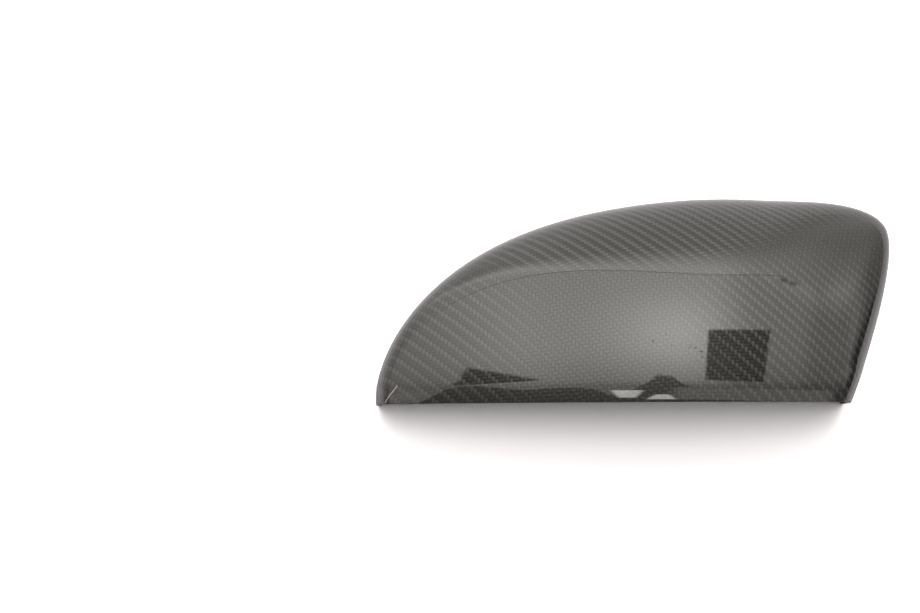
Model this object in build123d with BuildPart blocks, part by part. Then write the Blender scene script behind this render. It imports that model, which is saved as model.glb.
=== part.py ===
"""Wing mirror cover: one thin moulded shell, lying on its rear rim with its front face up.

+X points to the inner end beside the car, +Y to the top of the mirror and +Z to the front.
The shell is lofted through upright sections that fan out like ribs, from a pole that lies beyond
the underside, across the front face and over the crease to the rim.
"""

import os
from dataclasses import dataclass
from math import atan, cos, hypot, radians, sin, sqrt, tan

from build123d import *

os.makedirs("parts", exist_ok=True)

# Overall size, in millimetres
length = 240.0
depth = 113.0
height = 54.0
wall = 2.0

# Front face: a crown along the length and one across it, with a lip that turns under at the edge
crest_offset = 8.0
crest_inset = 21.0
inner_crown_radius = 244.0
outer_crown_radius = 423.0
front_crown_radius = 170.0
lip_width = 9.0
lip_angle = 16.0

# Underside: the plane that cuts the shell open below leans out over the rear rim
underside_lean = 15.0

# Rim seen from the front: the outer tip, the top, the inner end and its foot
tip_rise = 15.0
top_offset = 60.5
top_reach_outer = 155.0
corner_gap = 2.0
end_drop = 20.1
end_rise = 6.5
side_reach = 17.3
foot_inset = 25.2
foot_lean = 24.8

# Crease: its share of each rib, measured from the rim, and how far it turns
crease_share_top = 0.44
crease_share_end = 0.40
crease_fade = 1.75
crease_tip_gap = 9.0
crease_turn = 4.5
crease_middle = -8.0
crease_reach = 92.0

# Edge roll: how deep the edge turns down past the crease, and how full its corner is
roll_tip = 20.0
roll_top = 27.0
roll_end = 10.0
roll_foot = 24.0
fullness = 2 / 3
fullness_end = 0.85

# Ribs: where they fan out from, how many there are, and the stock that the cuts take off
pole_offset = -35.0
pole_distance = 56.0
near_line_gap = 8.0
near_stock = 12.0
end_stock = 10.0
base_stock = 25.0
tip_ribs = 10
corner_ribs = 8
side_ribs = 5
lip_share = 0.6


def arc_drop(distance, radius):
    """Fall of a circle of this radius at a distance from its crest."""
    return radius - sqrt(radius**2 - distance**2)


def ease(share):
    """Smooth start and stop between 0 and 1."""
    return share**2 * (3 - 2 * share)


# The underside plane meets the crown at the near edge and the rear rim at the feet
near_edge = -depth / 2
crest_line = near_edge + crest_inset
lean = radians(underside_lean)
lip_fall = lip_width * tan(radians(lip_angle)) / 2
edge_height = height - arc_drop(crest_inset, front_crown_radius) - lip_fall
foot_line = near_edge + edge_height * tan(lean)
underside = Plane(origin=(0, foot_line, 0), x_dir=(1, 0, 0), z_dir=(0, cos(lean), sin(lean)))


def front_height(x, y):
    """Height of the front face above the rear rim."""
    along = x - crest_offset
    along_radius = inner_crown_radius if along > 0 else outer_crown_radius
    crown = height - arc_drop(along, along_radius) - arc_drop(y - crest_line, front_crown_radius)
    clearance = (y - foot_line) * cos(lean) + crown * sin(lean)
    return crown - lip_fall * max(0.0, 1 - clearance / lip_width) ** 2


def skin_height(x, y, inset):
    """Height of the skin that lies this far inside the front face, measured square to the face."""
    step = wall / 100
    slope_x = (front_height(x + step, y) - front_height(x - step, y)) / (2 * step)
    slope_y = (front_height(x, y + step) - front_height(x, y - step)) / (2 * step)
    return front_height(x, y) - inset * sqrt(1 + slope_x**2 + slope_y**2)


@dataclass
class Rib:
    """Upright section of the wall, from its start beyond the underside to a point of the rim.

    outward runs from 0 at the top to 1 at the tip, inward from 0 at the top to 1 at the end, and
    footward from 0 at the end to 1 at the foot.
    """

    rim_point: Vector
    rim_tangent: Vector
    outward: float
    inward: float
    footward: float = 0.0

    def __post_init__(self):
        pole = Vector(pole_offset, near_edge - pole_distance)
        self.direction = (self.rim_point - pole).normalized()
        start_line = near_edge - near_line_gap - pole.Y
        self.start = pole + self.direction * (start_line / self.direction.Y)
        self.reach = (self.rim_point - self.start).length
        normal = (self.direction.Y, -self.direction.X, 0)
        self.plane = Plane(origin=self.start, x_dir=self.direction, z_dir=normal)

        # The crease stands a share of the rib away from the rim and fades out at both ends
        share = crease_share_top * (1 - self.outward**crease_fade)
        share += (crease_share_end - crease_share_top) * ease(self.inward)
        self.crease_run = self.reach - hypot(share * self.reach, crease_tip_gap)
        crease_x = (self.start + self.direction * self.crease_run).X
        fade = min(1.0, abs(crease_x - crease_middle) / crease_reach)
        self.turn = radians(crease_turn) * (1 - fade**2) ** 2

        # The lip ends where the front face is one lip width away from the underside
        lip_line = foot_line + (lip_width - edge_height * sin(lean)) / cos(lean)
        lip_run = (lip_line - self.start.Y) / self.direction.Y
        self.lip_run = min(lip_run, self.crease_run * lip_share)

        roll = roll_top + (roll_tip - roll_top) * ease(self.outward)
        roll += (roll_end - roll_top) * ease(self.inward)
        self.roll = roll + (roll_foot - roll_end) * ease(self.footward)
        self.fullness = fullness + (fullness_end - fullness) * ease(self.inward)
        crossing = self.direction.X * self.rim_tangent.Y - self.direction.Y * self.rim_tangent.X
        self.wall_run = wall / abs(crossing)

    def height_at(self, run, inset):
        """Height of a skin at a distance along the rib."""
        point = self.start + self.direction * run
        return skin_height(point.X, point.Y, inset)

    def slope_at(self, run, inset):
        """Slope of a skin at a distance along the rib."""
        step = wall / 50
        return (self.height_at(run + step, inset) - self.height_at(run - step, inset)) / (2 * step)

    def front_curve(self, first, last, inset):
        """Control points of the skin between two distances along the rib."""
        third = (last - first) / 3
        first_height = self.height_at(first, inset)
        last_height = self.height_at(last, inset)
        return [
            Vector(first, first_height),
            Vector(first + third, first_height + third * self.slope_at(first, inset)),
            Vector(last - third, last_height - third * self.slope_at(last, inset)),
            Vector(last, last_height),
        ]

    def edge_curve(self, inset):
        """Control points of the rolled edge, from the crease to the upright wall."""
        edge_slope = tan(atan(self.slope_at(self.crease_run, 0)) - self.turn)
        crease = Vector(self.crease_run, self.height_at(self.crease_run, inset))
        wall_at = self.reach - self.wall_run * inset / wall
        corner = Vector(wall_at, crease.Y + (wall_at - self.crease_run) * edge_slope)
        outer_corner = self.height_at(self.crease_run, 0) + (self.reach - self.crease_run) * edge_slope
        wall_top = Vector(wall_at, outer_corner - self.roll)
        return [
            crease,
            crease + (corner - crease) * self.fullness,
            wall_top + (corner - wall_top) * self.fullness,
            wall_top,
        ]


# Rim outline on the rear rim's plane, from the tip over the top and the inner end to the foot
tip = Vector(-length / 2, foot_line)
top = Vector(top_offset, depth / 2)
end = Vector(length / 2, top.Y - end_drop)
foot = Vector(length / 2 - foot_inset, foot_line)
down = Vector(-sin(radians(foot_lean)), -cos(radians(foot_lean)))

with BuildLine() as rim:
    outer_run = Bezier(tip, tip + Vector(0, tip_rise), top - Vector(top_reach_outer, 0), top)
    inner_run = Bezier(top, Vector(end.X - corner_gap, top.Y), end + Vector(0, end_rise), end)
    end_run = Bezier(end, end - Vector(0, side_reach), foot - down * side_reach, foot)


def ribs_along_rim(stock):
    """Ribs in order along the rim, with this much stock below the tip and below the foot."""
    below_tip = tip - Vector(0, stock)
    below_foot = foot + down * stock
    ribs = [Rib(below_tip, outer_run % 0, 1.0, 0.0), Rib((below_tip + tip) / 2, outer_run % 0, 1.0, 0.0)]
    for i in range(tip_ribs):
        at = i / tip_ribs
        ribs.append(Rib(outer_run @ at, outer_run % at, 1 - at, 0.0))
    for i in range(corner_ribs):
        at = i / corner_ribs
        ribs.append(Rib(inner_run @ at, inner_run % at, 0.0, at))
    for i in range(side_ribs + 1):
        at = i / side_ribs
        ribs.append(Rib(end_run @ at, end_run % at, 0.0, 1.0, at))
    return ribs + [Rib(below_foot, end_run % 1, 0.0, 1.0, 1.0)]


# Mirror cover: the outer form less the inner one, both lofted through the ribs, then cut flat at
# the rear rim and at the underside. The inner form stands out wherever the shell is open.
with BuildPart() as mirror_cover:
    for inset, mode in ((0.0, Mode.ADD), (wall, Mode.SUBTRACT)):
        sections = []
        for rib in ribs_along_rim(end_stock + inset):
            lip = rib.front_curve(-near_stock - inset, rib.lip_run, inset)
            front = rib.front_curve(rib.lip_run, rib.crease_run, inset)
            edge = rib.edge_curve(inset)
            outer_base = Vector(edge[-1].X, -base_stock - inset)
            near_base = Vector(lip[0].X, -base_stock - inset)
            with BuildLine():
                outline = [Bezier(*lip), Bezier(*front), Bezier(*edge)]
                outline += [Line(edge[-1], outer_base), Line(outer_base, near_base)]
                outline += [Line(near_base, lip[0])]
            sections.append(rib.plane.location * Face(Wire(outline)))
        loft(sections, mode=mode)
    split(bisect_by=Plane.XY, keep=Keep.TOP)
    split(bisect_by=underside, keep=Keep.TOP)

mirror_cover.part.label = "mirror_cover"
export_step(mirror_cover.part, "parts/mirror_cover.step")
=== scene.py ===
"""Looks of the wing mirror cover: a lacquered shell of woven twill, lying on its rear rim."""

import math

import bmesh
import bpy
import numpy as np
from mathutils import Matrix, Vector


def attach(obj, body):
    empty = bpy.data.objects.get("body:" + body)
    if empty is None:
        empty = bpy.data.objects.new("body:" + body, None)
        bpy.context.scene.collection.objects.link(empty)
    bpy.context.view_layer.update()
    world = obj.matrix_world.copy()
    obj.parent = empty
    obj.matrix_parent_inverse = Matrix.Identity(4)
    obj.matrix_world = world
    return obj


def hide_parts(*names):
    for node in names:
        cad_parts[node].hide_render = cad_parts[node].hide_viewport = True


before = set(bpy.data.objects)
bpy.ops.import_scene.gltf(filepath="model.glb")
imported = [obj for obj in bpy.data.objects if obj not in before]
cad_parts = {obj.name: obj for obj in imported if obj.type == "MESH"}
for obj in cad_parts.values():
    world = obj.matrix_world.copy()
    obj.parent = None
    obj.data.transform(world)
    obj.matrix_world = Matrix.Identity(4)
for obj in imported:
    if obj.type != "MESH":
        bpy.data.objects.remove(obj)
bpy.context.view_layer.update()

bl_info = {
    "name": "Wing mirror cover",
    "version": (1, 0, 0),
    "blender": (4, 5, 0),
    "location": "View3D > Sidebar > Mirror cover",
    "description": "Builds the lacquered twill shell of a wing mirror cover and its studio",
    "category": "Object",
}

MM = 0.001

# Points of one section: along the front face, round the edge and down the wall, on both skins
FRONT_POINTS = 70
EDGE_POINTS = 34
WALL_POINTS = 8
ROUND_POINTS = 3

# Points of the fine line that a section is drawn from: front face, edge and wall
FINE_FRONT = 400
FINE_EDGE = 160
FINE_WALL = 60

# Stock in millimetres past the cuts: before the near line, beside the feet and below the rear rim
NEAR_STOCK = 12.0
FOOT_STOCK = 9.5
BASE_STOCK = 1.0

# Distance in millimetres from the crease to the points beside it, which keep it crisp
CREASE_STEP = 0.35

# Sections along the rim: below the tip, outer run, inner run, end run and below the foot
TIP_STOCK_RIBS = 16
OUTER_RIBS = 96
INNER_RIBS = 72
END_RIBS = 34
FOOT_STOCK_RIBS = 14

# Finish numbers of the faces, in the order of the materials
LACQUERED, CUT, RAW = range(3)
SHARP_ANGLE = math.radians(50)
MERGE_DISTANCE = 2e-6
SLIVER = 1e-6

# Cloth: the middle that the lengthwise tows bend down from and how fast, in metres, how far tows
# sway aside, the tone of the lengthwise and of the cross tows in even light, and their sheen
CLOTH_OFFSET = 0.005
CLOTH_BEND = 0.9
CLOTH_SWAY = 0.0008
LONG_TONE = 0.9
CROSS_TONE = 0.5
FIBRE_METAL = 0.7

# Flaws of the clear coat, in millimetres on the cloth: place and radius of each pit and of each dull
# mark at the end of the crease, and the two ends and the width of the scratch beside the tip
PITS = (
    (3.4, -24.8, 0.28),
    (9.3, -21.9, 0.22),
    (11.6, -27.3, 0.18),
    (18.7, -29.1, 0.22),
    (20.1, -28.3, 0.22),
    (21.9, -29.3, 0.30),
    (24.3, -31.2, 0.36),
    (24.6, -33.7, 0.26),
)
DULL_MARKS = ((65.2, 5.5, 1.8), (69.2, 4.0, 1.6))
DULL_SHARE = 0.62
SCRATCH = ((-115.9, -50.4), (-110.8, -43.3))
SCRATCH_WIDTH = 0.34
# Near black, for the pits and for the painted shade of the crease line
SHADED = (0.004, 0.004, 0.004, 1.0)

# The room by direction, with x to the right and y to the back of a ball of radius 1. Ceiling: where
# its light falls off to the right and to what share, and the place, spread and light of its spots
CEILING_LIGHT = 3.7
CEILING_FADES = ((0.28, 0.46, 0.66), (0.60, 0.68, 0.66), (0.89, 0.95, 0.04))
CEILING_SPOTS = (
    ((0.18, 0.42), (0.14, 0.16), 4.3),
    ((-0.24, 0.38), (0.09, 0.25), 0.9),
    ((-0.57, -0.15), (0.06, 0.18), 1.2),
    ((-0.17, 0.94), (0.10, 0.05), 0.45),
    ((0.54, 0.80), (0.12, 0.11), 0.5),
)
RAIL_LIGHT = 0.9
SWEEP_LIGHT = 0.25

# Dark shapes below the ceiling: a square that leans, tilts and tapers a little, and a wedge whose
# middle, half width and end are straight lines, each with its slope and its level
SQUARE_CENTRE = (0.393, 0.290)
SQUARE_HALF = (0.112, 0.149)
SQUARE_LEAN = 0.06
SQUARE_TILT = 0.058
SQUARE_TAPER = 0.055
SQUARE_SOFTNESS = 0.006
WEDGE_MIDDLE = (-0.11, 0.154)
WEDGE_HALF = (-0.41, -0.082)
WEDGE_END = (-0.35, -0.477)
WEDGE_SOFTNESS = 0.01
SHAPE_DARKNESS = 0.97

# Front of the room: place, half size and softness of its paler part, middle, width and rise of the
# waves in its border, and place, half size and flare of the bright panes in it
FRONT_LIGHT = 0.31
FRONT_CARD = ((0.45, -0.235), (0.30, 0.185), 0.04)
FRONT_CARD_LIGHT = 1.4
BORDER_LEVEL = -0.06
BORDER_WAVES = (
    (-0.385, 0.045, 0.12),
    (-0.25, 0.03, -0.05),
    (-0.01, 0.035, -0.25),
    (0.095, 0.03, 0.19),
    (0.155, 0.03, 0.17),
)
PANES = (((0.02, -0.235), (0.033, 0.105), 0.1), ((0.113, -0.32), (0.030, 0.065), -0.2))
PANE_SOFTNESS = (0.008, 0.015)
PANE_LIGHT = 9.0

# Lamp and floor
LAMP_TILT = math.radians(4)
FLOOR_REACH = 30.0
FLOOR_GAP = 0.0001

# The photo's view: focal length in pixels of a 920 pixel wide picture, and where the middle of
# the near edge stands in it
PICTURE_WIDTH = 920
PICTURE_HEIGHT = 613
FOCAL_PIXELS = 1523.8
EDGE_PIXEL = (652.1, 403.0)
EDGE_DISTANCE = 0.650
CAMERA_ELEVATION = math.radians(70)
CAMERA_ROLL = math.radians(-0.25)
SENSOR_WIDTH = 36.0


class ShellSettings(bpy.types.PropertyGroup):
    """Sizes of the shell"""

    length: bpy.props.FloatProperty(
        name="Length", description="From the outer tip to the inner end", default=0.240, unit="LENGTH"
    )
    depth: bpy.props.FloatProperty(
        name="Depth", description="From the near edge to the top of the mirror", default=0.113, unit="LENGTH"
    )
    height: bpy.props.FloatProperty(
        name="Height", description="From the rear rim to the crest of the front", default=0.054, unit="LENGTH"
    )
    wall: bpy.props.FloatProperty(
        name="Wall", description="Thickness of the laminate", default=0.002, unit="LENGTH"
    )
    underside_lean: bpy.props.FloatProperty(
        name="Underside lean",
        description="Lean of the cut underside",
        default=math.radians(15),
        subtype="ANGLE",
    )
    crease_turn: bpy.props.FloatProperty(
        name="Crease",
        description="Turn of the face at the crease",
        default=math.radians(4.5),
        subtype="ANGLE",
    )
    rim_rounding: bpy.props.FloatProperty(
        name="Rim rounding", description="Rounding of the cut edges", default=0.0004, unit="LENGTH"
    )


class FinishSettings(bpy.types.PropertyGroup):
    """Weave and lacquer"""

    tow_width: bpy.props.FloatProperty(
        name="Tow width", description="Width of one flat tow of the cloth", default=0.0016, unit="LENGTH"
    )
    dark_tow: bpy.props.FloatVectorProperty(
        name="Dark tow",
        description="Fibre in the hollows of the weave",
        default=(0.010, 0.010, 0.0096),
        subtype="COLOR",
    )
    light_tow: bpy.props.FloatVectorProperty(
        name="Light tow",
        description="Fibre on the crowns of the weave",
        default=(0.080, 0.079, 0.075),
        subtype="COLOR",
    )
    scratch: bpy.props.FloatVectorProperty(
        name="Scratch",
        description="Bared resin in the scratch",
        default=(0.48, 0.36, 0.35),
        subtype="COLOR",
    )
    lacquer_roughness: bpy.props.FloatProperty(
        name="Lacquer roughness", description="Blur of the clear coat", default=0.03, subtype="FACTOR"
    )


class StudioSettings(bpy.types.PropertyGroup):
    """Light and floor"""

    room_strength: bpy.props.FloatProperty(
        name="Room light", description="Brightness of the room's soft light", default=0.50
    )
    room_colour: bpy.props.FloatVectorProperty(
        name="Room tint",
        description="Colour of the room's light",
        default=(1.0, 0.975, 0.925),
        subtype="COLOR",
    )
    lamp_strength: bpy.props.FloatProperty(
        name="Lamp", description="Strength of the soft overhead lamp", default=1.0
    )
    lamp_spread: bpy.props.FloatProperty(
        name="Lamp spread",
        description="Width of the soft overhead lamp",
        default=math.radians(30),
        subtype="ANGLE",
    )
    floor_colour: bpy.props.FloatVectorProperty(
        name="Floor",
        description="Colour of the paper floor",
        default=(0.955, 0.94, 0.98),
        subtype="COLOR",
    )
    floor_whiteness: bpy.props.FloatProperty(
        name="Floor whiteness",
        description="How far the paper is seen brighter than it lights the cover",
        default=1.66,
    )
    mirrored_whiteness: bpy.props.FloatProperty(
        name="Mirrored whiteness",
        description="How far the lacquer mirrors the paper as white",
        default=0.9,
    )


def arc_drop(distance, radius):
    """Fall of a circle of this radius at a distance from its crest."""
    return radius - np.sqrt(radius**2 - distance**2)


def ease(share):
    """Smooth start and stop between 0 and 1."""
    return share**2 * (3 - 2 * share)


def bezier(controls, share):
    """Points and tangents of a cubic curve."""
    a, b, c, d = (np.asarray(p, float) for p in controls)
    t = np.asarray(share, float)[:, None]
    points = a * (1 - t) ** 3 + 3 * b * t * (1 - t) ** 2 + 3 * c * t**2 * (1 - t) + d * t**3
    tangents = 3 * ((b - a) * (1 - t) ** 2 + 2 * (c - b) * t * (1 - t) + (d - c) * t**2)
    return points, tangents


def even_shares(controls, count):
    """Curve parameters at even steps of length."""
    fine = np.linspace(0, 1, 2001)
    points, _ = bezier(controls, fine)
    run = np.concatenate([[0], np.cumsum(np.linalg.norm(np.diff(points, axis=0), axis=1))])
    return np.interp(np.linspace(0, run[-1], count), run, fine)


class ShellForm:
    """The shell's shape in millimetres, as the solid has it: a crowned front face, ribs that fan
    out from a pole beyond the underside, a crease that fades at both ends and a rolled edge."""

    crest_offset, crest_inset = 8.0, 21.0
    inner_crown, outer_crown, front_crown = 244.0, 423.0, 170.0
    lip_width, lip_angle = 9.0, math.radians(16)
    tip_rise, top_offset, top_reach_outer, corner_gap = 15.0, 60.5, 155.0, 2.0
    end_drop, end_rise, side_reach = 20.1, 6.5, 17.3
    foot_inset, foot_lean = 25.2, math.radians(24.8)
    crease_share_top, crease_share_end = 0.44, 0.40
    crease_fade, crease_tip_gap = 1.75, 9.0
    crease_middle, crease_reach = -8.0, 92.0
    roll_tip, roll_top, roll_end, roll_foot = 20.0, 27.0, 10.0, 24.0
    fullness, fullness_end = 2 / 3, 0.85
    pole_offset, pole_distance, near_line_gap = -35.0, 56.0, 8.0

    def __init__(self, settings):
        self.length, self.depth = settings.length / MM, settings.depth / MM
        self.height, self.wall = settings.height / MM, settings.wall / MM
        self.lean, self.crease_turn = settings.underside_lean, settings.crease_turn
        self.near_edge = -self.depth / 2
        self.crest_line = self.near_edge + self.crest_inset
        self.lip_fall = self.lip_width * math.tan(self.lip_angle) / 2
        self.edge_height = self.height - arc_drop(self.crest_inset, self.front_crown) - self.lip_fall
        self.foot_line = self.near_edge + self.edge_height * math.tan(self.lean)
        tip = np.array([-self.length / 2, self.foot_line])
        top = np.array([self.top_offset, self.depth / 2])
        end = np.array([self.length / 2, top[1] - self.end_drop])
        foot = np.array([self.length / 2 - self.foot_inset, self.foot_line])
        down = np.array([-math.sin(self.foot_lean), -math.cos(self.foot_lean)])
        self.tip, self.foot, self.down = tip, foot, down
        self.outer_run = [tip, tip + [0, self.tip_rise], top - [self.top_reach_outer, 0], top]
        self.inner_run = [top, [end[0] - self.corner_gap, top[1]], end + [0, self.end_rise], end]
        self.end_run = [end, end - [0, self.side_reach], foot - down * self.side_reach, foot]

    def clearance(self, y, z):
        """Distance from the underside's plane."""
        return (y - self.foot_line) * math.cos(self.lean) + z * math.sin(self.lean)

    def front_height(self, x, y):
        """Height of the front face."""
        along = x - self.crest_offset
        crown = np.where(along > 0, arc_drop(along, self.inner_crown), arc_drop(along, self.outer_crown))
        z = self.height - crown - arc_drop(y - self.crest_line, self.front_crown)
        short = np.maximum(0, 1 - self.clearance(y, z) / self.lip_width)
        return z - self.lip_fall * short**2

    def skin_height(self, x, y, inset):
        """Height of the skin that lies this far inside the front face."""
        step = 0.02
        slope_x = (self.front_height(x + step, y) - self.front_height(x - step, y)) / (2 * step)
        slope_y = (self.front_height(x, y + step) - self.front_height(x, y - step)) / (2 * step)
        return self.front_height(x, y) - inset * np.sqrt(1 + slope_x**2 + slope_y**2)

    def section(self, rim_point, rim_tangent, outward, inward, footward, inset):
        """Finely drawn line of one skin in a rib, with its start, direction and break points."""
        pole = np.array([self.pole_offset, self.near_edge - self.pole_distance])
        direction = (rim_point - pole) / np.linalg.norm(rim_point - pole)
        start = pole + direction * (self.near_edge - self.near_line_gap - pole[1]) / direction[1]
        reach = np.linalg.norm(rim_point - start)
        share = self.crease_share_top * (1 - outward**self.crease_fade)
        share += (self.crease_share_end - self.crease_share_top) * ease(inward)
        crease_run = reach - math.hypot(share * reach, self.crease_tip_gap)
        crease_x = start[0] + direction[0] * crease_run
        fade = min(1.0, abs(crease_x - self.crease_middle) / self.crease_reach)
        turn = self.crease_turn * (1 - fade**2) ** 2

        def height_at(run, depth):
            """Height of a skin at distances along the rib."""
            run = np.asarray(run, float)
            return self.skin_height(start[0] + direction[0] * run, start[1] + direction[1] * run, depth)

        step = 0.04
        slope = (height_at(crease_run + step, 0) - height_at(crease_run - step, 0)) / (2 * step)
        edge_slope = math.tan(math.atan(slope) - turn)
        crossing = direction[0] * rim_tangent[1] - direction[1] * rim_tangent[0]
        wall_at = reach - inset * np.linalg.norm(rim_tangent) / abs(crossing)
        roll = self.roll_top + (self.roll_tip - self.roll_top) * ease(outward)
        roll += (self.roll_end - self.roll_top) * ease(inward)
        roll += (self.roll_foot - self.roll_end) * ease(footward)
        full = self.fullness + (self.fullness_end - self.fullness) * ease(inward)
        crease = np.array([crease_run, float(height_at(crease_run, inset))])
        corner = np.array([wall_at, crease[1] + (wall_at - crease_run) * edge_slope])
        outer_corner = float(height_at(crease_run, 0)) + (reach - crease_run) * edge_slope
        wall_top = np.array([wall_at, outer_corner - roll])
        leaving = crease + (corner - crease) * full
        arriving = wall_top + (corner - wall_top) * full

        runs = np.linspace(-NEAR_STOCK, crease_run, FINE_FRONT)
        front = np.stack([runs, height_at(runs, inset)], axis=1)
        edge, _ = bezier([crease, leaving, arriving, wall_top], np.linspace(0, 1, FINE_EDGE + 1)[1:])
        fall = np.linspace(wall_top[1], -BASE_STOCK, FINE_WALL + 1)[1:]
        foot = np.stack([np.full(FINE_WALL, wall_at), fall], axis=1)
        line = np.concatenate([front, edge, foot])
        points = np.column_stack([start + direction * line[:, :1], line[:, 1]])
        return points, direction, (len(front) - 1, len(front) + len(edge) - 1), (1 - fade**2) ** 0.25

    def stations(self):
        """Rim point, rim tangent, outward, inward and footward share of each section, in order."""
        rows = []
        for drop in np.linspace(FOOT_STOCK, 0, TIP_STOCK_RIBS, endpoint=False):
            rows.append((self.tip - [0, drop], np.array([0.0, 1.0]), 1.0, 0.0, 0.0))
        for controls, count, kind in (
            (self.outer_run, OUTER_RIBS, "outer"),
            (self.inner_run, INNER_RIBS, "inner"),
            (self.end_run, END_RIBS, "end"),
        ):
            shares = even_shares(controls, count + 1)
            points, tangents = bezier(controls, shares)
            last = count + 1 if kind == "end" else count
            for i in range(last):
                outward = 1 - i / count if kind == "outer" else 0.0
                inward = {"outer": 0.0, "inner": i / count, "end": 1.0}[kind]
                rows.append((points[i], tangents[i], outward, inward, i / count if kind == "end" else 0.0))
        for drop in np.linspace(0, FOOT_STOCK, FOOT_STOCK_RIBS + 1)[1:]:
            rows.append((self.foot + self.down * drop, self.down, 0.0, 1.0, 1.0))
        return rows


def clipped_skin(form, station, inset, trim):
    """Points, weave coordinates and crease marks of one skin between the underside and the rear rim.

    The line stops short of both cut edges by trim, for their rounding. None where nothing is left.
    """
    points, direction, breaks, crispness = form.section(*station, inset)
    run = np.concatenate([[0], np.cumsum(np.linalg.norm(np.diff(points, axis=0), axis=1))])
    inside = np.minimum(form.clearance(points[:, 1], points[:, 2]), points[:, 2])
    kept = np.flatnonzero(inside > 0)
    if len(kept) < 2:
        return None
    first, last = kept[0], kept[-1]
    low = run[first]
    if first > 0:
        low -= (run[first] - run[first - 1]) * inside[first] / (inside[first] - inside[first - 1])
    high = run[last]
    if last < len(run) - 1:
        high += (run[last + 1] - run[last]) * inside[last] / (inside[last] - inside[last + 1])
    trim = min(trim, (high - low) * 0.2)
    marks = np.clip([low + trim, run[breaks[0]], run[breaks[1]], high - trim], low + trim, high - trim)
    start, crease, wall_top, stop = marks
    beside = min(CREASE_STEP, (crease - start) * 0.1, (wall_top - crease) * 0.1)
    at = np.concatenate([
        np.linspace(start, crease - beside, FRONT_POINTS),
        [crease],
        np.linspace(crease + beside, wall_top, EDGE_POINTS, endpoint=False),
        np.linspace(wall_top, stop, WALL_POINTS),
    ])
    at_ends = np.array([low, high])
    origin = points[0, :2]

    def place(where):
        """Points at these lengths of the line."""
        return np.column_stack([np.interp(where, run, points[:, k]) for k in range(3)])

    weave = origin + direction * at[:, None]
    weave_ends = origin + direction * at_ends[:, None]
    crispness = np.where(at == run[breaks[0]], crispness, 0.0)
    return place(at), weave, place(at_ends), weave_ends, crispness


def round_corner(start, corner, finish, shares):
    """Points on the curve that rounds a corner."""
    t = np.asarray(shares)[:, None]
    return start * (1 - t) ** 2 + 2 * corner * t * (1 - t) + finish * t**2


def section_ring(form, station, rounding):
    """Closed ring of points round the wall of one rib: places, weave coordinates, finish numbers
    and crease marks."""
    outer = clipped_skin(form, station, 0.0, rounding)
    if outer is None:
        return None
    points, weave, ends, weave_ends, crispness = outer
    inner = clipped_skin(form, station, form.wall, rounding)
    if inner is None:
        share = np.linspace(0, 1, len(points))[:, None]
        flat = ends[0] + (ends[1] - ends[0]) * (0.02 + 0.96 * share)
        inner = (flat, weave, np.array([flat[0], flat[-1]]))
    inner_points, inner_weave, inner_ends = inner[:3]
    ring, coords, finish = [points], [weave], [np.full(len(points), LACQUERED)]
    early = np.arange(1, ROUND_POINTS + 1) / ROUND_POINTS
    for k, last in ((1, -1), (0, 0)):
        across = inner_ends[k] - ends[k]
        gap = np.linalg.norm(across)
        step = across / max(gap, 1e-9) * min(rounding, gap * 0.4)
        near = round_corner(points[last], ends[k], ends[k] + step, early)
        far = round_corner(inner_ends[k] - step, inner_ends[k], inner_points[last], early - early[0])
        turn = np.concatenate([near, far])
        ring.append(turn if k else turn[::-1])
        coords.append(np.repeat(weave_ends[k][None], len(turn), axis=0))
        finish.append(np.full(len(turn), CUT))
        if k:
            ring.append(inner_points[::-1])
            coords.append(inner_weave[::-1])
            finish.append(np.full(len(inner_points), RAW))
    ring = np.concatenate(ring)
    crease = np.zeros(len(ring))
    crease[: len(points)] = crispness
    return ring, np.concatenate(coords), np.concatenate(finish), crease


def shell_mesh(form, rounding):
    """Mesh of the whole shell, from rings of points along the rim."""
    rings = [section_ring(form, station, rounding) for station in form.stations()]
    rings = [ring for ring in rings if ring is not None]
    size = len(rings[0][0])
    points = np.concatenate([ring[0] for ring in rings]) * MM
    weave = np.concatenate([ring[1] for ring in rings]) * MM
    finish = rings[len(rings) // 2][2]
    faces, numbers = [], []
    for i in range(len(rings) - 1):
        for j in range(size):
            k = (j + 1) % size
            faces.append((i * size + j, i * size + k, (i + 1) * size + k, (i + 1) * size + j))
            numbers.append(max(finish[j], finish[k]))
    for i in (0, len(rings) - 1):
        faces.append(tuple(range(i * size, (i + 1) * size)))
        numbers.append(CUT)
    mesh = bpy.data.meshes.new("mirror_cover_shell")
    mesh.from_pydata(points.tolist(), [], faces)
    mesh.polygons.foreach_set("material_index", np.array(numbers, np.int32))
    layer = mesh.uv_layers.new(name="weave")
    loops = np.empty(len(mesh.loops), np.int32)
    mesh.loops.foreach_get("vertex_index", loops)
    layer.data.foreach_set("uv", weave[loops].astype(np.float32).ravel())
    crease = mesh.attributes.new("crease", "FLOAT", "POINT")
    crease.data.foreach_set("value", np.concatenate([ring[3] for ring in rings]).astype(np.float32))
    edit = bmesh.new()
    edit.from_mesh(mesh)
    bmesh.ops.remove_doubles(edit, verts=edit.verts, dist=MERGE_DISTANCE)
    bmesh.ops.dissolve_degenerate(edit, edges=edit.edges, dist=SLIVER)
    bmesh.ops.recalc_face_normals(edit, faces=edit.faces)
    edit.to_mesh(mesh)
    edit.free()
    mesh.shade_smooth()
    mesh.set_sharp_from_angle(angle=SHARP_ANGLE)
    return mesh


def node(tree, kind, **values):
    """New node with its properties set."""
    made = tree.nodes.new(kind)
    for name, value in values.items():
        setattr(made, name, value)
    return made


def feed(tree, socket, value):
    """Links a socket to another one, or sets its number."""
    if isinstance(value, bpy.types.NodeSocket):
        tree.links.new(value, socket)
    else:
        socket.default_value = value


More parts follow.
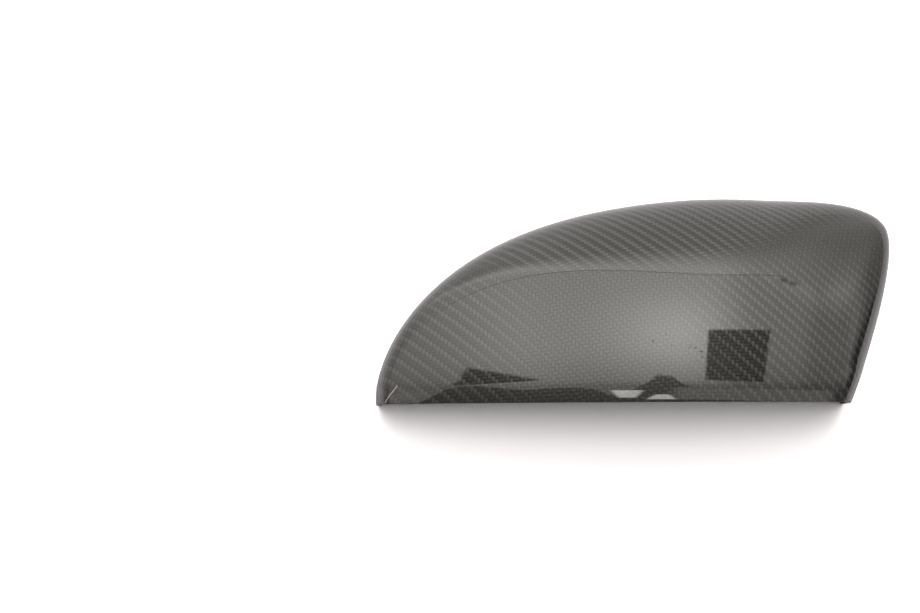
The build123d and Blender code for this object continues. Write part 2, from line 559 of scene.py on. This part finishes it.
def calc(tree, operation, first, second=0.0, third=0.0):
    """Math node."""
    made = node(tree, "ShaderNodeMath", operation=operation)
    for socket, value in zip(made.inputs, (first, second, third)):
        feed(tree, socket, value)
    return made.outputs[0]


def mix(tree, factor, first, second):
    """Mix of two colours."""
    made = node(tree, "ShaderNodeMix", data_type="RGBA")
    for name, value in (("Factor_Float", factor), ("A_Color", first), ("B_Color", second)):
        socket = next(s for s in made.inputs if s.identifier == name)
        feed(tree, socket, value)
    return next(s for s in made.outputs if s.identifier == "Result_Color")


def noise(tree, vector, scale, detail=2.0):
    """Noise value."""
    made = node(tree, "ShaderNodeTexNoise")
    feed(tree, made.inputs["Vector"], vector)
    made.inputs["Scale"].default_value = scale
    made.inputs["Detail"].default_value = detail
    return made.outputs["Fac"]


def ramp(tree, value, start, stop, low, high):
    """Smooth change from one number to another."""
    made = node(tree, "ShaderNodeMapRange", interpolation_type="SMOOTHSTEP")
    names = ("Value", "From Min", "From Max", "To Min", "To Max")
    for name, number in zip(names, (value, start, stop, low, high)):
        feed(tree, made.inputs[name], number)
    return made.outputs[0]


def blot(tree, x, y, centre, spread):
    """Soft round spot."""
    across = calc(tree, "DIVIDE", calc(tree, "SUBTRACT", x, centre[0]), spread[0])
    along = calc(tree, "DIVIDE", calc(tree, "SUBTRACT", y, centre[1]), spread[1])
    squared = calc(tree, "ADD", calc(tree, "MULTIPLY", across, across), calc(tree, "MULTIPLY", along, along))
    return calc(tree, "EXPONENT", calc(tree, "MULTIPLY", squared, -0.5))


def card(tree, x, y, centre, half, soft):
    """Rectangle with soft borders."""
    across = calc(tree, "ABSOLUTE", calc(tree, "SUBTRACT", x, centre[0]))
    level = calc(tree, "ABSOLUTE", calc(tree, "SUBTRACT", y, centre[1]))
    inside_x = ramp(tree, across, half[0] - soft, half[0] + soft, 1.0, 0.0)
    inside_y = ramp(tree, level, half[1] - soft, half[1] + soft, 1.0, 0.0)
    return calc(tree, "MULTIPLY", inside_x, inside_y)


def combine(tree, x, y, z=0.0):
    """Vector of three values."""
    made = node(tree, "ShaderNodeCombineXYZ")
    for socket, value in zip(made.inputs, (x, y, z)):
        feed(tree, socket, value)
    return made.outputs[0]


def twill_group():
    """Node group of the two-by-two twill: tone of the tows, with painted sheen, and their height."""
    tree = bpy.data.node_groups.new("Twill cloth", "ShaderNodeTree")
    tree.interface.new_socket("Weave", in_out="INPUT", socket_type="NodeSocketVector")
    width = tree.interface.new_socket("Tow width", in_out="INPUT", socket_type="NodeSocketFloat")
    width.default_value = 0.0016
    tree.interface.new_socket("Tone", in_out="OUTPUT", socket_type="NodeSocketFloat")
    tree.interface.new_socket("Height", in_out="OUTPUT", socket_type="NodeSocketFloat")
    source = node(tree, "NodeGroupInput")
    target = node(tree, "NodeGroupOutput")
    split = node(tree, "ShaderNodeSeparateXYZ")
    feed(tree, split.inputs[0], source.outputs["Weave"])
    face_along, face_across = split.outputs[0], split.outputs[1]

    # Lengthwise tows bend down towards both ends, as the cloth was laid over the crown
    centred = calc(tree, "ADD", face_along, CLOTH_OFFSET)
    bent = calc(tree, "MULTIPLY", centred, centred)
    across = calc(tree, "MULTIPLY_ADD", bent, CLOTH_BEND, face_across)
    wander = noise(tree, combine(tree, face_along, across), 60.0, 1.0)
    sway = calc(tree, "MULTIPLY", calc(tree, "SUBTRACT", wander, 0.5), CLOTH_SWAY)
    along = calc(tree, "ADD", face_along, sway)
    across = calc(tree, "SUBTRACT", across, sway)
    u = calc(tree, "DIVIDE", along, source.outputs["Tow width"])
    v = calc(tree, "DIVIDE", across, source.outputs["Tow width"])
    column, row = calc(tree, "FLOOR", u), calc(tree, "FLOOR", v)
    cross_at = calc(tree, "FLOORED_MODULO", calc(tree, "ADD", v, column), 4.0)
    long_at = calc(tree, "FLOORED_MODULO", calc(tree, "ADD", u, row), 4.0)
    cross_top = calc(tree, "LESS_THAN", cross_at, 2.0)
    long_top = calc(tree, "SUBTRACT", 1.0, cross_top)

    def crowned(position, side):
        """Height of a tow that goes over two others: bowed along its float and rounded across."""
        bow = calc(tree, "SINE", calc(tree, "MULTIPLY", position, math.pi / 2))
        offset = calc(tree, "MULTIPLY_ADD", calc(tree, "FRACT", side), 2.0, -1.0)
        dome = calc(tree, "SUBTRACT", 1.0, calc(tree, "POWER", calc(tree, "ABSOLUTE", offset), 2.5))
        return calc(tree, "MULTIPLY", calc(tree, "ABSOLUTE", bow), dome)

    def on_top(cross, lengthwise):
        """Value of whichever tow lies on top."""
        cross = calc(tree, "MULTIPLY", cross, cross_top)
        return calc(tree, "ADD", cross, calc(tree, "MULTIPLY", lengthwise, long_top))

    def fibre_streaks(across_columns, across_rows):
        """Fine streaks of the fibres in a tow."""
        streaks = (calc(tree, "MULTIPLY", u, across_columns), calc(tree, "MULTIPLY", v, across_rows))
        return noise(tree, combine(tree, *streaks), 1.0)

    height = on_top(crowned(cross_at, u), crowned(calc(tree, "SUBTRACT", long_at, 2.0), v))
    fibres = on_top(fibre_streaks(9.0, 0.4), fibre_streaks(0.4, 9.0))

    # Painted sheen: a tow is painted paler by its place on the shell, where it would lie across the light.
    # Above the crease those are the lengthwise tows, towards both ends the cross tows, and in the middle of
    # the front face both are alike.
    painted_sheen_outer_upper = ramp(tree, face_along, -0.103, -0.053, 0.42, 0.0)
    painted_sheen_outer_front = ramp(tree, face_along, -0.085, -0.030, 0.42, 0.19)
    painted_sheen_outer_front = calc(tree, "MULTIPLY", painted_sheen_outer_front, ramp(tree, face_along, 0.016, 0.041, 1.0, 0.0))
    below = ramp(tree, face_across, 0.004, 0.026, 1.0, 0.0)
    outer = calc(tree, "MULTIPLY_ADD", calc(tree, "SUBTRACT", painted_sheen_outer_front, painted_sheen_outer_upper), below, painted_sheen_outer_upper)
    lift = calc(tree, "MAXIMUM", calc(tree, "SUBTRACT", face_across, 0.010), 0.0)
    inner = ramp(tree, calc(tree, "MULTIPLY_ADD", lift, -1.6, face_along), 0.008, 0.050, 0.0, 0.5)
    # Painted sheen: towards the top edge the lengthwise tows are painted paler and the cross tows darker
    painted_sheen_upper = ramp(tree, face_across, 0.006, 0.026, 0.0, 0.25)
    painted_sheen_upper = calc(tree, "ADD", painted_sheen_upper, ramp(tree, face_across, 0.03, 0.05, 0.0, 0.2))
    painted_sheen_swing = calc(tree, "SUBTRACT", painted_sheen_upper, calc(tree, "ADD", outer, inner))
    tone = on_top(calc(tree, "SUBTRACT", CROSS_TONE, painted_sheen_swing), calc(tree, "ADD", LONG_TONE, painted_sheen_swing))
    tone = calc(tree, "MULTIPLY", tone, calc(tree, "POWER", height, 0.35))
    tone = calc(tree, "MULTIPLY", tone, calc(tree, "MULTIPLY_ADD", fibres, 0.9, 0.55))
    feed(tree, target.inputs["Tone"], tone)
    feed(tree, target.inputs["Height"], height)
    return tree


def start_material(name):
    """Empty node material with a Principled shader."""
    material = bpy.data.materials.new(name)
    material.use_nodes = True
    tree = material.node_tree
    tree.nodes.clear()
    output = node(tree, "ShaderNodeOutputMaterial")
    shader = node(tree, "ShaderNodeBsdfPrincipled")
    tree.links.new(shader.outputs[0], output.inputs[0])
    return material, tree, shader


def place_weave(tree, group, finish):
    """The twill group, read from the shell's weave coordinates."""
    coords = node(tree, "ShaderNodeUVMap", uv_map="weave")
    cloth = node(tree, "ShaderNodeGroup", node_tree=group)
    feed(tree, cloth.inputs["Weave"], coords.outputs[0])
    cloth.inputs["Tow width"].default_value = finish.tow_width
    return coords, cloth


def colour(value, factor=1.0):
    """Colour with alpha for a socket."""
    return (*(c * factor for c in value), 1.0)


def flaw_masks(tree, along, across):
    """Masks of the pits and dull marks in the clear coat and of the scratch beside the tip."""
    pits = 0.0
    for *centre, radius in PITS:
        pits = calc(tree, "MAXIMUM", pits, blot(tree, along, across, centre, (radius, radius * 0.8)))
    for *centre, radius in DULL_MARKS:
        mark = blot(tree, along, across, centre, (radius, radius * 0.6))
        pits = calc(tree, "MAXIMUM", pits, calc(tree, "MULTIPLY", mark, DULL_SHARE))
    start, stop = (Vector(point) for point in SCRATCH)
    line = stop - start
    run = line.normalized()
    dx, dy = calc(tree, "SUBTRACT", along, start.x), calc(tree, "SUBTRACT", across, start.y)
    on = calc(tree, "MULTIPLY_ADD", dx, run.x, calc(tree, "MULTIPLY", dy, run.y))
    off = calc(tree, "MULTIPLY_ADD", dx, -run.y, calc(tree, "MULTIPLY", dy, run.x))
    inside = calc(tree, "COMPARE", on, line.length / 2, line.length / 2)
    beside = ramp(tree, calc(tree, "ABSOLUTE", off), SCRATCH_WIDTH * 0.3, SCRATCH_WIDTH * 0.7, 1.0, 0.0)
    return pits, calc(tree, "MULTIPLY", beside, inside)


def lacquered_twill(group, finish):
    """Outer face: woven twill under a clear gloss coat."""
    material, tree, shader = start_material("lacquered_twill")
    coords, cloth = place_weave(tree, group, finish)
    split = node(tree, "ShaderNodeSeparateXYZ")
    feed(tree, split.inputs[0], coords.outputs[0])
    along, across = (calc(tree, "DIVIDE", split.outputs[k], MM) for k in (0, 1))
    # The cloth's tone holds painted sheen, which goes into the base colour here
    base = mix(tree, cloth.outputs["Tone"], colour(finish.dark_tow), colour(finish.light_tow))
    pits, scratch = flaw_masks(tree, along, across)
    base = mix(tree, scratch, base, colour(finish.scratch))
    base = mix(tree, pits, base, SHADED)

    # Painted shade: the crease is painted as a fine dark line, stronger towards the inner end and up to the
    # dull marks there
    crease = node(tree, "ShaderNodeAttribute", attribute_name="crease").outputs["Fac"]
    crease = calc(tree, "MULTIPLY", crease, ramp(tree, along, 30.0, 50.0, 1.0, 1.6))
    crease = calc(tree, "MULTIPLY", crease, ramp(tree, along, 62.0, 70.0, 1.0, 0.0))
    base = mix(tree, calc(tree, "MULTIPLY", crease, 0.6), base, SHADED)
    feed(tree, shader.inputs["Base Color"], base)
    feed(tree, shader.inputs["Metallic"], calc(tree, "MULTIPLY_ADD", scratch, -FIBRE_METAL, FIBRE_METAL))
    bump = node(tree, "ShaderNodeBump")
    bump.inputs["Strength"].default_value = 1.0
    bump.inputs["Distance"].default_value = 0.00012
    feed(tree, bump.inputs["Height"], cloth.outputs["Height"])
    feed(tree, shader.inputs["Normal"], bump.outputs[0])
    shader.inputs["Roughness"].default_value = 0.42
    shader.inputs["Specular IOR Level"].default_value = 0.25
    shader.inputs["Specular Tint"].default_value = (0.12, 0.12, 0.12, 1.0)

    # The coat is thinner over flaws, along the crease, where it deepens the painted dark line, and on the
    # steep sides
    thin = calc(tree, "MAXIMUM", calc(tree, "MULTIPLY", pits, 0.9), calc(tree, "MULTIPLY", crease, 0.5))
    facing = node(tree, "ShaderNodeSeparateXYZ")
    feed(tree, facing.inputs[0], node(tree, "ShaderNodeTexCoord").outputs["Normal"])
    thin = calc(tree, "MAXIMUM", thin, ramp(tree, facing.outputs["Z"], 0.10, 0.55, 0.72, 0.0))
    feed(tree, shader.inputs["Coat Weight"], calc(tree, "SUBTRACT", 1.0, thin))
    shader.inputs["Coat Roughness"].default_value = finish.lacquer_roughness
    shader.inputs["Coat IOR"].default_value = 1.68
    return material


def raw_twill(group, finish):
    """Inner face: the same cloth in bare resin, dull from the release film."""
    material, tree, shader = start_material("raw_twill")
    coords, cloth = place_weave(tree, group, finish)
    # The cloth's tone holds painted sheen, which goes into the base colour here
    base = mix(tree, cloth.outputs["Tone"], colour(finish.dark_tow, 1.3), colour(finish.light_tow, 0.9))
    feed(tree, shader.inputs["Base Color"], base)
    blotch = noise(tree, coords.outputs[0], 45.0, 4.0)
    feed(tree, shader.inputs["Roughness"], calc(tree, "MULTIPLY_ADD", blotch, 0.35, 0.38))
    bump = node(tree, "ShaderNodeBump")
    bump.inputs["Strength"].default_value = 0.5
    bump.inputs["Distance"].default_value = 0.0003
    feed(tree, bump.inputs["Height"], cloth.outputs["Height"])
    feed(tree, shader.inputs["Normal"], bump.outputs[0])
    return material


def cut_laminate():
    """Trimmed edge: layers of fibre and resin, sanded dull."""
    material, tree, shader = start_material("cut_laminate")
    place = node(tree, "ShaderNodeTexCoord")
    grain = noise(tree, place.outputs["Object"], 900.0, 3.0)
    base = mix(tree, grain, colour((0.012, 0.012, 0.012)), colour((0.045, 0.044, 0.042)))
    feed(tree, shader.inputs["Base Color"], base)
    feed(tree, shader.inputs["Roughness"], calc(tree, "MULTIPLY_ADD", grain, 0.3, 0.3))
    return material


def ceiling_light(tree, x, y, z):
    """Light of the ceiling, which fades to both sides and ends above the back wall."""
    sides = ramp(tree, x, -0.80, -0.20, 0.45, 1.0)
    for start, stop, share in CEILING_FADES:
        sides = calc(tree, "MULTIPLY", sides, ramp(tree, x, start, stop, 1.0, share))
    rightward = calc(tree, "MAXIMUM", x, 0.0)
    far = calc(tree, "MULTIPLY", calc(tree, "MULTIPLY", rightward, rightward), 0.92)
    far = calc(tree, "MULTIPLY_ADD", y, y, far)
    near_end = ramp(tree, y, 0.0, 0.36, 0.45, 1.0)
    depth = calc(tree, "MULTIPLY", near_end, ramp(tree, far, 0.72, 0.85, 1.0, 0.45))
    light = calc(tree, "MULTIPLY", calc(tree, "MULTIPLY", sides, depth), CEILING_LIGHT)
    for centre, spread, level in CEILING_SPOTS:
        light = calc(tree, "MULTIPLY_ADD", blot(tree, x, y, centre, spread), level, light)

    # A pale rail where the ceiling ends, and a faint sweep up from the floor
    rail = calc(tree, "MULTIPLY", blot(tree, far, 0.0, (0.715, 0.0), (0.03, 1.0)), sides)
    light = calc(tree, "MULTIPLY_ADD", rail, RAIL_LIGHT, light)
    low = ramp(tree, z, 0.0, 0.32, 1.0, 0.0)
    sweep = calc(tree, "MULTIPLY", low, ramp(tree, x, 0.60, 0.85, 1.0, 0.0))
    return calc(tree, "MULTIPLY_ADD", sweep, SWEEP_LIGHT, light)


def dark_shapes(tree, x, y):
    """Masks of a leaning square and of a wedge that tapers to the right."""
    level = calc(tree, "SUBTRACT", y, SQUARE_CENTRE[1])
    side = calc(tree, "MULTIPLY_ADD", level, -SQUARE_LEAN, calc(tree, "SUBTRACT", x, SQUARE_CENTRE[0]))
    level = calc(tree, "ABSOLUTE", calc(tree, "MULTIPLY_ADD", side, SQUARE_TILT, level))
    level = calc(tree, "MULTIPLY_ADD", side, -SQUARE_TAPER, level)
    side = calc(tree, "ABSOLUTE", side)
    inside_x, inside_y = (
        ramp(tree, value, half - SQUARE_SOFTNESS, half + SQUARE_SOFTNESS, 1.0, 0.0)
        for value, half in zip((side, level), SQUARE_HALF)
    )
    square = calc(tree, "MULTIPLY", inside_x, inside_y)

    off = calc(tree, "SUBTRACT", y, calc(tree, "MULTIPLY_ADD", x, *WEDGE_MIDDLE))
    past = calc(tree, "SUBTRACT", calc(tree, "ABSOLUTE", off), calc(tree, "MULTIPLY_ADD", x, *WEDGE_HALF))
    wedge = ramp(tree, past, -WEDGE_SOFTNESS, WEDGE_SOFTNESS, 1.0, 0.0)
    slope, end = WEDGE_END
    ahead = calc(tree, "MULTIPLY_ADD", y, slope, x)
    ahead = ramp(tree, ahead, end - WEDGE_SOFTNESS, end + WEDGE_SOFTNESS, 0.0, 1.0)
    return square, calc(tree, "MULTIPLY", wedge, ahead)


def front_border(tree, x, y):
    """Mask of what lies behind the uneven border of the room's front."""
    border = calc(tree, "MULTIPLY_ADD", noise(tree, combine(tree, x, 0.0), 9.0, 2.0), 0.05, BORDER_LEVEL)
    for middle, width, rise in BORDER_WAVES:
        wave = blot(tree, x, 0.0, (middle, 0.0), (width, 1.0))
        border = calc(tree, "MULTIPLY_ADD", wave, rise, border)
    border = calc(tree, "ADD", border, ramp(tree, x, -0.54, -0.44, -0.35, 0.0))
    return ramp(tree, calc(tree, "SUBTRACT", y, border), -0.012, 0.012, 0.0, 1.0)


def pale_pane(tree, x, y, centre, half, flare):
    """Mask of a pane that widens to the back, or to the front where flare is below 0."""
    rise = calc(tree, "SUBTRACT", y, centre[1])
    off = calc(tree, "ABSOLUTE", calc(tree, "SUBTRACT", x, centre[0]))
    off = calc(tree, "MULTIPLY_ADD", rise, -flare, off)
    rise = calc(tree, "ABSOLUTE", rise)
    inside_x, inside_y = (
        ramp(tree, value, size - soft, size + soft, 1.0, 0.0)
        for value, size, soft in zip((off, rise), half, PANE_SOFTNESS)
    )
    return calc(tree, "MULTIPLY", inside_x, inside_y)


class OBJECT_OT_mirror_cover_shell(bpy.types.Operator):
    """Build the woven shell and its finish"""

    bl_idname = "object.mirror_cover_shell"
    bl_label = "Build shell"

    def execute(self, context):
        scene = context.scene
        form = ShellForm(scene.mirror_cover_shell)
        mesh = shell_mesh(form, scene.mirror_cover_shell.rim_rounding / MM)
        shell = bpy.data.objects.new("woven_shell", mesh)
        scene.collection.objects.link(shell)
        group = twill_group()
        finish = scene.mirror_cover_finish
        for material in (lacquered_twill(group, finish), cut_laminate(), raw_twill(group, finish)):
            mesh.materials.append(material)
        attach(shell, "root")
        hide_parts("mirror_cover")
        return {"FINISHED"}


class SCENE_OT_mirror_cover_studio(bpy.types.Operator):
    """Build the floor, the light and the camera"""

    bl_idname = "scene.mirror_cover_studio"
    bl_label = "Build studio"

    def execute(self, context):
        settings = context.scene.mirror_cover_studio
        self.make_floor(context, settings)
        self.make_room(context, settings)
        self.make_lamp(context, settings)
        self.make_camera(context)
        context.scene.view_settings.view_transform = "Standard"
        return {"FINISHED"}

    def make_floor(self, context, settings):
        """Sheet of paper that is seen white and keeps the cover's shadow."""
        mesh = bpy.data.meshes.new("studio_floor")
        corners = [(x * FLOOR_REACH, y * FLOOR_REACH, 0) for x, y in ((-1, -1), (1, -1), (1, 1), (-1, 1))]
        mesh.from_pydata(corners, [], [(0, 1, 2, 3)])
        floor = bpy.data.objects.new("studio_floor", mesh)
        floor.location.z = -FLOOR_GAP
        material, tree, shader = start_material("floor_paper")
        path = node(tree, "ShaderNodeLightPath")
        mirrored = calc(tree, "MAXIMUM", path.outputs["Is Glossy Ray"], path.outputs["Is Transmission Ray"])
        mirrored_paper = colour(settings.floor_colour, settings.mirrored_whiteness)
        paper = mix(tree, mirrored, colour(settings.floor_colour), mirrored_paper)
        white = colour(settings.floor_colour, settings.floor_whiteness)
        feed(tree, shader.inputs["Base Color"], mix(tree, path.outputs["Is Camera Ray"], paper, white))
        shader.inputs["Roughness"].default_value = 0.9
        shader.inputs["Specular IOR Level"].default_value = 0.1
        mesh.materials.append(material)
        context.scene.collection.objects.link(floor)

    def make_room(self, context, settings):
        """Light room: a wide bright ceiling with a hot middle, dark shapes below it and a dim front."""
        world = bpy.data.worlds.new("studio_room")
        world.use_nodes = True
        tree = world.node_tree
        tree.nodes.clear()
        output = node(tree, "ShaderNodeOutputWorld")
        room = node(tree, "ShaderNodeBackground")
        tree.links.new(room.outputs[0], output.inputs[0])
        coords = node(tree, "ShaderNodeTexCoord")
        split = node(tree, "ShaderNodeSeparateXYZ")
        feed(tree, split.inputs[0], coords.outputs["Generated"])
        x, y, z = split.outputs

        light = ceiling_light(tree, x, y, z)
        for dark in dark_shapes(tree, x, y):
            light = calc(tree, "MULTIPLY", light, calc(tree, "MULTIPLY_ADD", dark, -SHAPE_DARKNESS, 1.0))

        # The front is dim below an uneven border, paler to the right, and has two bright panes
        front = card(tree, x, y, *FRONT_CARD)
        front = calc(tree, "MULTIPLY_ADD", front, FRONT_CARD_LIGHT, FRONT_LIGHT)
        behind = front_border(tree, x, y)
        front = calc(tree, "MULTIPLY", front, calc(tree, "SUBTRACT", 1.0, behind))
        light = calc(tree, "ADD", calc(tree, "MULTIPLY", light, behind), front)
        for centre, half, flare in PANES:
            pane = pale_pane(tree, x, y, centre, half, flare)
            light = calc(tree, "MULTIPLY_ADD", pane, PANE_LIGHT, light)
        feed(tree, room.inputs["Strength"], calc(tree, "MULTIPLY", light, settings.room_strength))
        room.inputs["Color"].default_value = colour(settings.room_colour)
        context.scene.world = world

    def make_lamp(self, context, settings):
        """Soft lamp overhead, a little in front of the cover, which doesn't show in the lacquer."""
        lamp = bpy.data.objects.new("overhead_lamp", bpy.data.lights.new("overhead_lamp", "SUN"))
        lamp.data.energy = settings.lamp_strength
        lamp.data.angle = settings.lamp_spread
        lamp.data.color = settings.room_colour
        lamp.rotation_euler.x = LAMP_TILT
        lamp.location.z = 1.0
        lamp.visible_glossy = False
        context.scene.collection.objects.link(lamp)

    def make_camera(self, context):
        """Camera at the photo's view, placed by where the near edge stands in the picture."""
        camera = bpy.data.objects.new("photo_camera", bpy.data.cameras.new("photo_camera"))
        camera.data.sensor_width = SENSOR_WIDTH
        camera.data.lens = SENSOR_WIDTH * FOCAL_PIXELS / PICTURE_WIDTH
        camera.data.clip_start, camera.data.clip_end = 0.01, 100.0
        up = Vector((0, math.sin(CAMERA_ELEVATION), math.cos(CAMERA_ELEVATION)))
        back = Vector((0, -math.cos(CAMERA_ELEVATION), math.sin(CAMERA_ELEVATION)))
        form = ShellForm(context.scene.mirror_cover_shell)
        edge = Vector((0, form.near_edge * MM, form.edge_height * MM))
        right_of = (EDGE_PIXEL[0] - PICTURE_WIDTH / 2) / FOCAL_PIXELS * EDGE_DISTANCE
        above = (PICTURE_HEIGHT / 2 - EDGE_PIXEL[1]) / FOCAL_PIXELS * EDGE_DISTANCE
        camera.location = edge - Vector((right_of, 0, 0)) - up * above + back * EDGE_DISTANCE
        look = Matrix.Rotation(math.pi / 2 - CAMERA_ELEVATION, 3, "X") @ Matrix.Rotation(CAMERA_ROLL, 3, "Z")
        camera.rotation_euler = look.to_euler()
        context.scene.collection.objects.link(camera)
        context.scene.camera = camera


class VIEW3D_PT_mirror_cover(bpy.types.Panel):
    """Settings and build buttons of the mirror cover"""

    bl_label = "Mirror cover"
    bl_idname = "VIEW3D_PT_mirror_cover"
    bl_space_type = "VIEW_3D"
    bl_region_type = "UI"
    bl_category = "Mirror cover"

    def draw(self, context):
        scene = context.scene
        for settings in (scene.mirror_cover_shell, scene.mirror_cover_finish, scene.mirror_cover_studio):
            box = self.layout.box()
            for name in settings.__annotations__:
                box.prop(settings, name)
        self.layout.operator(OBJECT_OT_mirror_cover_shell.bl_idname)
        self.layout.operator(SCENE_OT_mirror_cover_studio.bl_idname)


CLASSES = (
    ShellSettings,
    FinishSettings,
    StudioSettings,
    OBJECT_OT_mirror_cover_shell,
    SCENE_OT_mirror_cover_studio,
    VIEW3D_PT_mirror_cover,
)


def register():
    for cls in CLASSES:
        bpy.utils.register_class(cls)
    bpy.types.Scene.mirror_cover_shell = bpy.props.PointerProperty(type=ShellSettings)
    bpy.types.Scene.mirror_cover_finish = bpy.props.PointerProperty(type=FinishSettings)
    bpy.types.Scene.mirror_cover_studio = bpy.props.PointerProperty(type=StudioSettings)


def unregister():
    del bpy.types.Scene.mirror_cover_studio
    del bpy.types.Scene.mirror_cover_finish
    del bpy.types.Scene.mirror_cover_shell
    for cls in reversed(CLASSES):
        bpy.utils.unregister_class(cls)


def main():
    register()
    bpy.ops.object.mirror_cover_shell()
    bpy.ops.scene.mirror_cover_studio()


if __name__ == "__main__":
    main()
